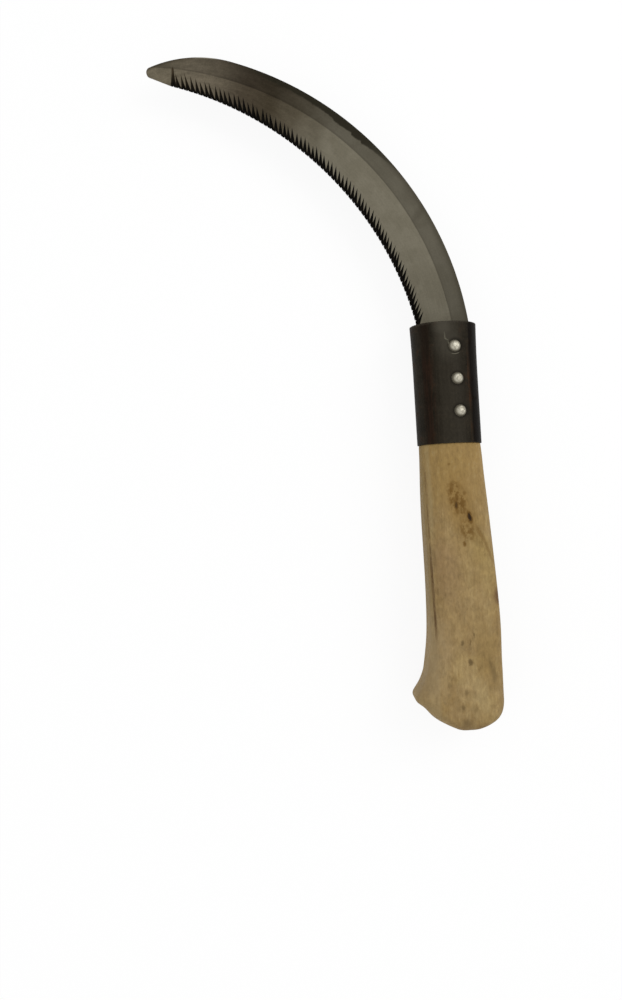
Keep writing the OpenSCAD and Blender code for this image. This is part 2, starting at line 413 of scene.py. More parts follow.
class Recipe:
    """The nodes of one finish, and the colour that its coats build up."""

    def __init__(self, owner: bpy.types.Material | bpy.types.World) -> None:
        """Starts with no nodes."""
        owner.use_nodes = True
        self.owner = owner
        self.tree = owner.node_tree
        self.tree.nodes.clear()
        self.colour: Any = (1.0, 1.0, 1.0, 1.0)

    @classmethod
    def named(cls, name: str) -> "Recipe":
        """Starts a new material."""
        return cls(bpy.data.materials.new(name))

    def node(
        self,
        kind: str,
        settings: dict[str, Any] | None = None,
        inputs: dict[str | int, Any] | None = None,
    ) -> bpy.types.Node:
        """Adds one node.

        Args:
            kind: The node's type.
            settings: Its settings, which are set first. A ramp's stops are under "stops".
            inputs: The values or links of its sockets.

        Returns:
            The node.
        """
        made = self.tree.nodes.new(kind)
        for key, setting in (settings or {}).items():
            if key == "stops":
                ramp = made.color_ramp
                while len(ramp.elements) < len(setting):
                    ramp.elements.new(1.0)
                for element, (place, colour) in zip(ramp.elements, setting):
                    element.position = place
                    element.color = colour
            else:
                setattr(made, key, setting)
        for key, given in (inputs or {}).items():
            socket = made.inputs[key]
            if isinstance(given, Value):
                self.tree.links.new(given.socket, socket)
            elif isinstance(given, bpy.types.NodeSocket):
                self.tree.links.new(given, socket)
            else:
                socket.default_value = given
        return made

    def from_point(self, centre: Vector) -> bpy.types.NodeSocket:
        """Gives the place on the surface in millimetres from a point of the frame.

        Args:
            centre: The point, in metres.

        Returns:
            The vector.
        """
        here = self.node("ShaderNodeTexCoord").outputs["Object"]
        made = self.node(
            "ShaderNodeMapping",
            {"vector_type": "TEXTURE"},
            {"Vector": here, "Location": centre, "Scale": (MM, MM, MM)},
        )
        return made.outputs[0]

    def parts(self, vector: bpy.types.NodeSocket) -> tuple[Value, Value, Value]:
        """Splits a vector into its three numbers."""
        made = self.node("ShaderNodeSeparateXYZ", inputs={0: vector})
        return tuple(Value(self, out) for out in made.outputs)

    def vector(self, x: Value | float, y: Value | float, z: Value | float = 0.0) -> bpy.types.NodeSocket:
        """Makes a vector of three numbers."""
        return self.node("ShaderNodeCombineXYZ", inputs={0: x, 1: y, 2: z}).outputs[0]

    def length(self, vector: bpy.types.NodeSocket) -> Value:
        """Gives a vector's length."""
        made = self.node("ShaderNodeVectorMath", {"operation": "LENGTH"}, {0: vector})
        return Value(self, made.outputs["Value"])

    def noise(
        self,
        vector: bpy.types.NodeSocket,
        scale: float,
        detail: float = 2.0,
        roughness: float = 0.5,
        bend: float = 0.0,
    ) -> Value:
        """Gives a soft random share, mostly between 0.3 and 0.7.

        Args:
            vector: The place it is read at.
            scale: How many lumps there are in a unit.
            detail: How many finer layers it has.
            roughness: How strong they are.
            bend: How far it is drawn out of shape.

        Returns:
            The share.
        """
        made = self.node(
            "ShaderNodeTexNoise",
            inputs={
                "Vector": vector,
                "Scale": scale,
                "Detail": detail,
                "Roughness": roughness,
                "Distortion": bend,
            },
        )
        return Value(self, made.outputs["Fac"])

    def spot(
        self,
        vector: bpy.types.NodeSocket,
        centre: Sequence[float],
        half: tuple[float, float],
        tilt: float = 0.0,
        soft: float = 0.6,
    ) -> Value:
        """Marks an oval with a soft edge, through the whole depth.

        Args:
            vector: The place in millimetres.
            centre: The oval's middle, in millimetres.
            half: Half its width and half its length.
            tilt: How far it leans, in degrees.
            soft: How much of it fades.

        Returns:
            1 in the oval and 0 outside.
        """
        made = self.node(
            "ShaderNodeMapping",
            {"vector_type": "TEXTURE"},
            {
                "Vector": vector,
                "Location": (centre[0], centre[1], 0.0),
                "Rotation": (0.0, 0.0, math.radians(tilt)),
                "Scale": (half[0], half[1], 1e4),
            },
        )
        return self.length(made.outputs[0]).fall(1 - soft / 2, 1 + soft / 2)

    def blend(self, share: Value | float, first: Any, second: Any, how: str = "MIX") -> bpy.types.NodeSocket:
        """Mixes two colours.

        Args:
            share: 0 for the first, 1 for the second.
            first: A colour or a link.
            second: A colour or a link.
            how: The way they mix.

        Returns:
            The colour.
        """
        made = self.node(
            "ShaderNodeMix",
            {"data_type": "RGBA", "blend_type": how},
            {0: share, 6: first, 7: second},
        )
        return made.outputs[2]

    def two_tone(self, share: Value, first: Tint, second: Tint) -> bpy.types.NodeSocket:
        """Mixes two screen colours."""
        return self.blend(share, linear(first), linear(second))

    def coat(self, share: Value, over: Tint | bpy.types.NodeSocket) -> None:
        """Lays a colour over what is there, as much as the share says."""
        self.colour = self.blend(share, self.colour, linear(over) if isinstance(over, tuple) else over)

    def shade(self, share: Value | float, tone: Value) -> None:
        """Multiplies what is there by a grey, as much as the share says."""
        grey = self.node("ShaderNodeCombineColor", inputs={0: tone, 1: tone, 2: tone}).outputs[0]
        self.colour = self.blend(share, self.colour, grey, "MULTIPLY")

    def ramp(self, value: Value, stops: Sequence[tuple[float, Sequence[float]]]) -> bpy.types.NodeSocket:
        """Reads a colour off a ramp."""
        return self.node("ShaderNodeValToRGB", {"stops": stops}, {0: value}).outputs[0]

    def relief(self, height: Value, strength: float = 1.0) -> bpy.types.NodeSocket:
        """Raises the surface by a height in millimetres, of which the strength shows."""
        made = self.node("ShaderNodeBump", inputs={"Strength": strength, "Distance": MM, "Height": height})
        return made.outputs[0]

    def finish(self, **inputs: Any) -> bpy.types.Material:
        """Ends the finish with its shader, in the colour that the coats have built up.

        Args:
            **inputs: The shader's other sockets, with _ for a space.

        Returns:
            The material.
        """
        sockets = {key.replace("_", " "): given for key, given in inputs.items()}
        shader = self.node("ShaderNodeBsdfPrincipled", inputs={"Base Color": self.colour, **sockets})
        self.node("ShaderNodeOutputMaterial", inputs={"Surface": shader.outputs[0]})
        return self.owner


# The view and the studio


@dataclass(frozen=True)
class Mark:
    """One knot, stain or scratch, placed on the photograph.

    Args:
        spot: The pixel at its middle.
        half: Half its width and half its length in millimetres.
        tone: How strong it is, from 0 to 1.
        tilt: How far it leans, in degrees.
    """

    spot: tuple[float, float]
    half: tuple[float, float]
    tone: float
    tilt: float = 0.0


@dataclass(frozen=True)
class Viewpoint:
    """A camera that looks straight down at the sickle from a hand's reach, in millimetres.

    Args:
        datum: The centre of the ferrule's mouth.
        place: Where the camera stands over the sickle.
        height: How high it stands over the blade's middle.
        tilt: How far the picture is turned, in degrees.
        across: How much of the blade's plane a pixel covers.
    """

    datum: Datum
    place: tuple[float, float] = (-66.47, -77.47)
    height: float = 470.0
    tilt: float = 3.43
    across: float = 0.47
    sensor: float = 36.0
    clip: tuple[float, float] = (0.01, 20.0)

    def build(self) -> None:
        """Makes the camera, whose picture is as high as it stands over the blade."""
        view = bpy.data.cameras.new("camera")
        view.lens = self.sensor
        view.sensor_width = self.sensor
        view.clip_start, view.clip_end = self.clip
        stand = bpy.data.objects.new("camera", view)
        stand.location = self.datum.at(*self.place, self.height)
        stand.rotation_euler = (0.0, 0.0, -math.radians(self.tilt))
        bpy.context.scene.collection.objects.link(stand)
        bpy.context.scene.camera = stand

    def spot(self, right: float, down: float, height: float = 0.0) -> tuple[float, float]:
        """Finds what is under a pixel of the photograph.

        Args:
            right: The pixel's column.
            down: Its row.
            height: How high over the blade's middle the surface is, in millimetres.

        Returns:
            Millimetres from the datum, x and y.
        """
        scale = self.across * (self.height - height) / self.height
        beside = (right - PHOTO_SIZE[0] / 2) * scale
        above = (PHOTO_SIZE[1] / 2 - down) * scale
        lean = math.radians(self.tilt)
        return (
            self.place[0] + beside * math.cos(lean) + above * math.sin(lean),
            self.place[1] - beside * math.sin(lean) + above * math.cos(lean),
        )

    def oval(
        self, recipe: Recipe, vector: bpy.types.NodeSocket, mark: Mark, height: float, soft: float
    ) -> Value:
        """Marks an oval on a surface of one height, where the photograph has the mark."""
        return recipe.spot(vector, self.spot(*mark.spot, height), mark.half, mark.tilt, soft)


@dataclass(frozen=True)
class Lamp:
    """One soft square lamp that faces the sickle, in metres and watts."""

    name: str
    place: tuple[float, float, float]
    size: float
    power: float

    def hang(self) -> None:
        """Makes the lamp."""
        data = bpy.data.lights.new(self.name, "AREA")
        data.size = self.size
        data.energy = self.power
        lamp = bpy.data.objects.new(self.name, data)
        lamp.location = self.place
        lamp.rotation_mode = "QUATERNION"
        lamp.rotation_quaternion = (-Vector(self.place)).to_track_quat("-Z", "Y")
        bpy.context.scene.collection.objects.link(lamp)


@dataclass(frozen=True)
class Studio:
    """A pale floor under plain soft light."""

    light_level: float = 0.76
    floor_reach: float = 12.0
    floor_glow: float = 0.9
    floor_white: float = 0.96
    lamps: tuple[Lamp, ...] = (
        Lamp("key", (0.8, 0.45, 0.85), 0.7, 5.4),
        Lamp("fill", (-0.6, -0.5, 0.7), 0.9, 1.2),
    )

    def seen(self, recipe: Recipe) -> Value:
        """Gives 1 for what the camera, metal or glass sees, and 0 for what lights."""
        path = recipe.node("ShaderNodeLightPath").outputs
        rays = ("Is Camera Ray", "Is Glossy Ray", "Is Transmission Ray")
        return largest(Value(recipe, path[name]) for name in rays)

    def build(self) -> None:
        """Makes the floor, the world and the lamps."""
        self._world()
        self._floor()
        for lamp in self.lamps:
            lamp.hang()
        bpy.context.scene.view_settings.view_transform = "Standard"

    def _world(self) -> None:
        """Makes all round white, and softer where it only lights."""
        world = bpy.data.worlds.new("studio")
        bpy.context.scene.world = world
        recipe = Recipe(world)
        level = self.seen(recipe).between(self.light_level, 1.0)
        back = recipe.node("ShaderNodeBackground", inputs={"Color": (1, 1, 1, 1), "Strength": level})
        recipe.node("ShaderNodeOutputWorld", inputs={"Surface": back.outputs[0]})

    def _floor(self) -> None:
        """Lays a white floor that keeps a soft shadow."""
        recipe = Recipe.named("floor_white")
        matt = recipe.node("ShaderNodeBsdfDiffuse", inputs={"Color": (*[self.floor_white] * 3, 1)})
        glow = recipe.node("ShaderNodeEmission", inputs={"Color": (1, 1, 1, 1), "Strength": 1.0})
        share = self.seen(recipe) * self.floor_glow
        both = recipe.node(
            "ShaderNodeMixShader", inputs={0: share, 1: matt.outputs[0], 2: glow.outputs[0]}
        )
        recipe.node("ShaderNodeOutputMaterial", inputs={"Surface": both.outputs[0]})
        floor = Workpiece.begin("floor", bpy.ops.mesh.primitive_plane_add, size=self.floor_reach)
        floor.dress(recipe.owner)
        floor.made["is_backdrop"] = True


# The blade


@dataclass(frozen=True)
class GroundSteel:
    """Blade steel: a dark band with forge scale along the spine, and a ground bevel."""

    blade: "Blade"
    mm_per_degree: float = 2.62
    tip_blend: float = 0.4
    smudge_at: tuple[float, float] = (134.7, 71.4)

    def build(self) -> bpy.types.Material:
        """Makes the finish."""
        blade, at = self.blade, self.blade.datum.at
        recipe = Recipe.named("ground_steel")
        here = recipe.from_point(at(*blade.spine_c))
        x, y, z = recipe.parts(here)
        radius = recipe.length(recipe.vector(x, y))
        angle = y.angle_from(x)
        along = angle * self.mm_per_degree
        # Distance in from the outer edge, which the tip's tighter curve takes over
        tip_x, tip_y, _ = recipe.parts(recipe.from_point(at(*blade.tip_c)))
        past_spine = angle.rise(blade.spine_end - self.tip_blend, blade.spine_end + self.tip_blend)
        from_spine = blade.spine_r - radius
        from_tip = blade.tip_r - recipe.length(recipe.vector(tip_x, tip_y))
        inward = from_spine + (from_tip - from_spine) * past_spine

        ridge_x, ridge_y, _ = recipe.parts(recipe.from_point(at(*blade.ridge_c)))
        past_ridge = recipe.length(recipe.vector(ridge_x, ridge_y)) - blade.ridge_r

        lines = recipe.noise(recipe.vector(radius * 1.5, along * 0.1, z), 1.0, 5.0, 0.62)
        folds = recipe.noise(recipe.vector(inward * 0.5, along * 0.08, z), 1.0, 3.0, 0.6, 0.6)
        blotch = recipe.noise(here, 0.11, 3.0, 0.5, 0.4)
        grain = recipe.noise(here, 1.3, 4.0, 0.65)
        steps = recipe.noise(recipe.vector(along, 0.0), 0.22, 2.0, 0.5)

        # The band keeps its dark skin, and the grind stops at the ridge
        band = (past_ridge + (blotch - 0.5) * 0.3).rise(-0.12, 0.12)
        back = z.fall(-0.72, -0.6)
        skin = band.larger(back * 0.85) * angle.fall(66, 76).between(0.55, 1.0)
        bevel = recipe.two_tone(blotch.rise(0.35, 0.65), (111, 106, 92), (105, 100, 86))
        dark_band = recipe.two_tone(blotch.rise(0.35, 0.65), (87, 83, 72), (82, 78, 67))
        recipe.colour = recipe.blend(skin, bevel, dark_band)
        recipe.coat(skin * inward.fall(0.3, 5.0) * 0.35, (66, 62, 52))
        # Both are darker towards the ferrule, and a smudge crosses the band
        recipe.shade(1.0, angle.rise(4, 30).between(0.8, 1.0))
        smudge = recipe.spot(here, self.smudge_at, (1.6, 4.6), -39, 1.6)
        recipe.coat(smudge * 0.35, (60, 56, 47))
        # A painted shade line along the band's side of the ridge
        ridge_shade_line = abs(past_ridge - 0.35).fall(0.1, 0.7) * (1 - back)
        recipe.coat(ridge_shade_line * 0.22, (60, 56, 46))

        # A painted dark reflection: a browner, darker patch below the tip
        painted_dark_reflection = recipe.ramp(
            (angle + (blotch - 0.5) * 5) / 90,
            (
                (0.53, (1, 1, 1, 1)),
                (0.63, (0.54, 0.50, 0.46, 1)),
                (0.69, (0.28, 0.24, 0.20, 1)),
                (0.75, (0.36, 0.31, 0.28, 1)),
                (0.82, (0.82, 0.76, 0.73, 1)),
                (0.90, (0.88, 0.83, 0.78, 1)),
            ),
        )
        # The painted dark reflection darkens the steel below the tip
        recipe.colour = recipe.blend(0.95, recipe.colour, painted_dark_reflection, "MULTIPLY")

        # Forge scale clings to the spine, with a stepped inner border
        ragged = recipe.noise(recipe.vector(along, inward * 0.6, z), 0.55, 3.0, 0.6)
        full = angle.span(33, 45, 63, 71)
        notches = angle.span(46.6, 49.5, 50.1, 50.5) * 0.8
        notches = notches + angle.span(44.0, 45.6, 46.2, 46.5) * 0.7
        notches = notches + angle.span(42.0, 43.6, 44.0, 44.3) * 0.5
        thinner = angle.rise(50.5, 54) * 0.4 + angle.rise(54, 61) * 0.4
        depth = full * (3.3 - thinner) + notches + (ragged - 0.5) * 1.4 * full
        fresh = angle.rise(34, 45).between(0.25, 1.0) * angle.fall(62, 71)
        scale = (inward - depth).fall(-0.5, 0.35) * fresh
        stained = (inward + (blotch - 0.5) * 1.5).fall(0.4, 2.6) * angle.fall(68, 73) * 0.4
        recipe.coat(stained, (52, 48, 38))
        recipe.coat(scale * 0.95, (46, 43, 34))

        # Towards the tip the hammer's folds and the grain show more
        worked = angle.rise(52, 64)
        cloudy = recipe.noise(here, 0.5, 3.0, 0.6)
        tone = 1 + (folds - 0.5) * worked * 0.7 + (grain - 0.5) * worked.between(0.35, 0.7)
        tone = tone + (cloudy - 0.5) * worked.between(0.12, 0.5)
        tone = tone * lines.between(0.85, 1.15)
        recipe.shade(1.0, tone)
        specks = grain.rise(0.66, 0.74) * ragged.rise(0.5, 0.6)
        recipe.coat(specks * 0.3, (84, 64, 40))
        # Painted shade in the rim's round; a bright edge in places, worn and partly a painted highlight; a
        # painted highlight (glint) along the top edge below the tip; and darker along the rim at the nose
        # Painted shade where the rim rounds away
        recipe.coat(inward.fall(0.1, 0.35) * 0.35, (40, 37, 29))
        # Bright on the very edge in places: wear, and partly a painted edge highlight
        worn_edge_and_highlight = inward.fall(0.05, 0.3) * z.rise(0.4, 0.7) * steps.rise(0.5, 0.6)
        recipe.coat(worn_edge_and_highlight * 0.4, (140, 136, 120))
        # A painted highlight along the top edge below the tip
        glint = inward.fall(0.15, 0.6) * angle.rise(73, 74.5) * angle.fall(76.5, 78)
        recipe.coat(glint * 0.7, (170, 165, 150))
        nose_rim = inward.fall(0.3, 1.8) * angle.rise(76, 82)
        recipe.coat(nose_rim * 0.55, (48, 43, 32))
        rough = lines.between(0.38, 0.5) + scale * 0.25 + band * 0.06
        height = lines * 0.01 + grain * scale * 0.1 + scale * 0.04
        return recipe.finish(Roughness=rough, Metallic=1.0, Normal=recipe.relief(height, 0.6))


@dataclass(frozen=True)
class ChiselCut:
    """The walls of the chisel-cut grooves, near black: dark with oil and scale, and partly painted shade of
    their depth.
    """

    centre: Vector

    def build(self) -> bpy.types.Material:
        """Makes the finish."""
        recipe = Recipe.named("chisel_cut")
        here = recipe.from_point(self.centre)
        x, y, z = recipe.parts(here)
        angle = y.angle_from(x)
        dirt = recipe.noise(here, 0.9, 4.0, 0.6)
        fine = recipe.noise(here, 5.0, 3.0, 0.6)
        # Near black: oil and scale, and partly painted shade in the grooves
        recipe.colour = recipe.two_tone(dirt.rise(0.4, 0.7), (4, 3, 2), (17, 14, 9))
        # Near the tip their upper ends are paler brown
        recipe.coat(angle.rise(64, 80) * z.rise(-0.6, 0.5) * 0.8, (50, 42, 29))
        first = angle.rise(80.6, 80.9) * recipe.length(recipe.vector(x, y)).rise(144.5, 146.5)
        recipe.coat(first * 0.8, (62, 52, 38))
        return recipe.finish(
            Roughness=fine.between(0.45, 0.7),
            Metallic=0.0,
            Specular_IOR_Level=0.03,
            Normal=recipe.relief(fine * 0.05),
        )


@dataclass(frozen=True)
class RivetRow:
    """Where the rivets stand, in millimetres from the mouth's centre."""

    first: float = 11.2
    pitch: float = 14.8
    offset: float = 3.1
    drift: float = 0.45

    def place(self, number: int) -> tuple[float, float]:
        """Gives x and y of a rivet, counted from the mouth."""
        return self.offset + self.drift * number, -(self.first + self.pitch * number)


@dataclass
class Blade:
    """The crescent with its grind, its teeth and its tang, in millimetres and degrees."""

    datum: Datum
    thickness: float = 1.5
    spine_r: float = 156.0
    root_spine: float = 12.5
    spine_lean: float = 6.4
    spine_len: float = 176.0
    tip_r: float = 57.0
    edge_r: float = 160.0
    root_edge: float = 11.8
    edge_lean: float = 11.5
    plain_turn: float = 7.0
    nose_r: float = 2.4
    flat_band: float = 8.6
    ridge_shift: tuple[float, float] = (-1.5, -2.15)
    ridge_grow: float = 2.53
    edge_t: float = 0.4
    toothed_len: float = 170.0
    tooth_pitch: float = 2.4
    groove_angle: float = 134.0
    groove_run: tuple[float, float] = (4.6, 6.6)
    groove_lean: tuple[float, float] = (50.0, 28.0)
    groove_notch: float = 0.1
    root_depth: float = 4.0
    tang_corners: tuple[tuple[float, float], ...] = (
        (-11.0, -4.0),
        (-2.95, -46.0),
        (-0.95, -48.0),
        (8.05, -48.0),
        (10.05, -46.0),
        (11.7, -4.0),
    )
    rim_wear: float = 0.16
    rivets: RivetRow = RivetRow()
    bores: int = 3
    bore_r: float = 1.6
    # Steps round the spine, the tip, the nose and the edge
    arc_steps: tuple[int, int, int, int] = (150, 70, 60, 140)
    # The levels of the grind between which the grindstone's cone reaches, and its sides
    stone_levels: tuple[float, float] = (-1.0, 1.3)
    stone_sides: int = 360
    # How far a groove's wedge stands over its line, and its length
    wedge: tuple[float, float] = (3.0, 20.0)
    # The last groove starts this far before the toothed edge's end, with its own lean, run and width
    last_groove: float = 0.8
    nose_groove: tuple[float, float, float] = (16.0, 8.6, 1.25)
    # How unevenly the chisel was set, in angle, lean and run
    angle_play: float = 0.06
    lean_play: float = 2.5
    run_play: tuple[float, float] = (0.9, 1.08)
    chisel_seed: int = 11

    def __post_init__(self) -> None:
        """Works out the centres and angles that the arcs share."""
        self.spine_c = Vector((self.root_spine, 0)) - self.spine_r * turn(self.spine_lean)
        self.spine_end = self.spine_lean + math.degrees(self.spine_len / self.spine_r)
        self.tip_c = self.spine_c + (self.spine_r - self.tip_r) * turn(self.spine_end)
        self.edge_c = Vector((-self.root_edge, 0)) - self.edge_r * turn(self.edge_lean)
        self.edge_end = self.edge_lean + math.degrees(self.toothed_len / self.edge_r)
        self.edge_stop = self.edge_c + self.edge_r * turn(self.edge_end)
        inward = turn(self.edge_end - self.plain_turn)
        onward = turn(self.edge_end + 90 - self.plain_turn)
        start = self.edge_stop + self.nose_r * inward - self.tip_c
        reach = -start.dot(onward) + math.sqrt(
            start.dot(onward) ** 2 - start.dot(start) + (self.tip_r - self.nose_r) ** 2
        )
        self.nose_c = self.tip_c + start + reach * onward
        self.plain_facing = self.edge_end - self.plain_turn + 180
        # The ridge's arc is a little flatter than the spine's, and meets the ferrule nearer the spine
        self.ridge_c = self.spine_c + Vector(self.ridge_shift)
        self.ridge_r = self.spine_r - self.flat_band + self.ridge_grow

    def level(self, share: float) -> tuple[Vector, float, float]:
        """Finds one level of the grind.

        Args:
            share: 0 at the ridge and 1 at the toothed edge.

        Returns:
            The level's centre, radius and height.
        """
        return (
            self.ridge_c + (self.edge_c - self.ridge_c) * share,
            self.ridge_r + (self.edge_r - self.ridge_r) * share,
            self.thickness / 2 - (self.thickness - self.edge_t) * share,
        )

    def build(self) -> Workpiece:
        """Makes the blade and puts it in the frame."""
        finishes = (GroundSteel(self).build(), ChiselCut(self.datum.at(*self.spine_c)).build())
        plate = self._plate()
        plate.dress(*finishes)
        plate.combine(self._grindstone(), "DIFFERENCE")
        plate.combine(self._chisel_cuts(finishes), "DIFFERENCE", crossed=True)
        for number in range(self.bores):
            plate.combine(self._bore(number), "DIFFERENCE")
        plate.edit(Pick.POINTS)
        plate.merge(DOUBLED_FINE)
        plate.close()
        plate.smooth(2)
        plate.hand_over("blade", Slot.BLADE)
        return plate

    def _plate(self) -> Workpiece:
        """Draws the outline from one point, fills it and gives it its thickness."""
        low = -self.thickness / 2
        root_angle = math.degrees(math.asin((-self.root_depth - self.spine_c.y) / self.spine_r))
        foot_angle = math.degrees(math.asin((-self.root_depth - self.edge_c.y) / self.edge_r))
        start = self.spine_c + self.spine_r * turn(root_angle)
        spine_steps, tip_steps, nose_steps, edge_steps = self.arc_steps
        plate = Workpiece.begin(
            "blade_plate",
            bpy.ops.mesh.primitive_plane_add,
            size=0.2 * MM,
            location=self.datum.at(start.x, start.y, low),
        )
        plate.edit(Pick.POINTS)
        plate.pick_all()
        bpy.ops.mesh.merge(type="CENTER")
        plate.pick_all()
        nose_from = heading(self.nose_c - self.tip_c)
        plate.sweep(self.datum.at(*self.spine_c, low), self.spine_end - root_angle, spine_steps)
        plate.sweep(self.datum.at(*self.tip_c, low), nose_from - self.spine_end, tip_steps)
        plate.sweep(self.datum.at(*self.nose_c, low), self.plain_facing - nose_from, nose_steps)
        at = self.nose_c + self.nose_r * turn(self.plain_facing)
        plate.draw_on(Vector((*(self.edge_stop - at), 0)) * MM)
        plate.sweep(self.datum.at(*self.edge_c, low), foot_angle - self.edge_end, edge_steps)
        at = self.edge_c + self.edge_r * turn(foot_angle)
        for corner in self.tang_corners:
            plate.draw_on(Vector((corner[0] - at.x, corner[1] - at.y, 0)) * MM)
            at = Vector(corner)
        plate.draw_on(Vector((*(start - at), 0)) * MM)
        plate.merge()
        plate.pick_all()
        bpy.ops.mesh.edge_face_add()
        plate.pick_all()
        plate.draw_on(Vector((0, 0, self.thickness * MM)))
        plate.merge()
        # The rims are worn round, as a rolled sheet's are after years of use
        plate.close()
        plate.edit(Pick.EDGES)
        plate.pick(lambda _, way: abs(way.z) < 0.01)
        bpy.ops.mesh.bevel(offset=self.rim_wear * MM, segments=2, profile=0.5, affect="EDGES")
        plate.close()
        return plate

    def _grindstone(self) -> Workpiece:
        """Makes the slanted cone that the grind takes off."""
        (top_c, top_r, top_z), (low_c, low_r, low_z) = map(self.level, self.stone_levels)
        stone = Workpiece.begin(
            "grindstone",
            bpy.ops.mesh.primitive_cylinder_add,
            vertices=self.stone_sides,
            radius=top_r * MM,
            depth=(top_z - low_z) * MM,
            location=self.datum.at(*top_c, (top_z + low_z) / 2),
        )
        foot = self.datum.at(*top_c, low_z)
        stone.edit(Pick.POINTS)
        stone.pick(lambda place, _: abs(place.z - foot.z) < 0.01 * MM)
        stone.resize((low_r / top_r, low_r / top_r, 1), foot)
        stone.move(Vector((*(low_c - top_c), 0)) * MM)
        stone.close()
        return stone

    def _chisel_cuts(self, finishes: Sequence[bpy.types.Material]) -> Workpiece:
        """Makes one groove's wedge and sets a copy at every tooth.

        Args:
            finishes: The blade's finishes, of which the walls get the last.

        Returns:
            All the wedges in one.
        """
        past, long = self.wedge
        half = past * math.tan(math.radians(self.groove_angle / 2))
        wedge = Workpiece.begin(
            "chisel_wedge",
            bpy.ops.mesh.primitive_cube_add,
            size=1.0,
            location=((long / 2 - past) * MM, 0, past / 2 * MM),
            scale=(long * MM, 2 * half * MM, past * MM),
        )
        wedge.edit(Pick.POINTS)
        wedge.pick(lambda place, _: place.z < 0.01 * MM)
        wedge.resize((1, 0, 1), Vector((0, 0, 0)))
        wedge.merge()
        wedge.close()
        wedge.dress(*finishes)
        for face in wedge.made.data.polygons:
            face.material_index = BladeFace.GROOVE.value
        hand = random.Random(self.chisel_seed)
        count = int(self.toothed_len / self.tooth_pitch) + 1
        cuts = []
        for number in range(count):
            along = self.toothed_len - self.last_groove - (count - 1 - number) * self.tooth_pitch
            share = along / self.toothed_len
            angle = self.edge_lean + math.degrees(along / self.edge_r)
            angle += hand.uniform(-self.angle_play, self.angle_play)
            lean = self.groove_lean[0] + (self.groove_lean[1] - self.groove_lean[0]) * share
            inward = self.groove_run[0] + (self.groove_run[1] - self.groove_run[0]) * share
            lean += hand.uniform(-self.lean_play, self.lean_play)
            inward *= hand.uniform(*self.run_play)
            spread = 1.0
            if number == count - 1:
                lean, inward, spread = self.nose_groove
            run = inward / math.cos(math.radians(lean))
            start = self.edge_c + self.edge_r * turn(angle)
            low = -self.thickness / 2 - self.groove_notch
            bevel_w = self.ridge_r - (start - self.ridge_c).length
            high = self.level(max(0.0, 1 - inward / bevel_w))[2]
            climb = math.atan2(high - low, run)
            place = (
                Matrix.Translation(self.datum.at(start.x, start.y, low))
                @ Matrix.Rotation(math.radians(angle + lean), 4, "Z")
                @ Matrix.Rotation(-climb, 4, "Y")
                @ Matrix.Diagonal((1, spread, 1, 1))
            )
            cuts.append(wedge.copy(f"chisel_cut_{number + 1}", place))
        bpy.data.objects.remove(wedge.made)
        cuts[0].gather(cuts[1:])
        return cuts[0]

    def _bore(self, number: int) -> Workpiece:
        """Makes the drill for one rivet's hole."""
        return Workpiece.begin(
            "drill",
            bpy.ops.mesh.primitive_cylinder_add,
            vertices=32,
            radius=self.bore_r * MM,
            depth=4 * self.thickness * MM,
            location=self.datum.at(*self.rivets.place(number)),
        )


# The ferrule


UPPER_RIVET = (454.3, 345.0)
# Painted highlights on the ferrule
FERRULE_HIGHLIGHTS = (
    Mark((446.5, 341.0), (4.6, 7.0), 0.26),
    Mark((441.5, 326.0), (3.5, 3.0), 0.4),
)
# Painted shadows round the rivet heads' feet
RIVET_SHADOWS = (
    Mark((455.2, 345.0), (3.5, 3.5), 0.6),
    Mark((458.0, 378.0), (3.5, 3.5), 0.6),
    Mark((460.7, 410.3), (3.5, 3.5), 0.6),
)
SCRATCH = (
    Mark((444.7, 335.5), (0.22, 1.5), 1.0, 4),
    Mark((446.3, 339.0), (0.25, 1.1), 1.0, 52),
    Mark((448.4, 342.8), (0.22, 0.8), 1.0, 14),
)


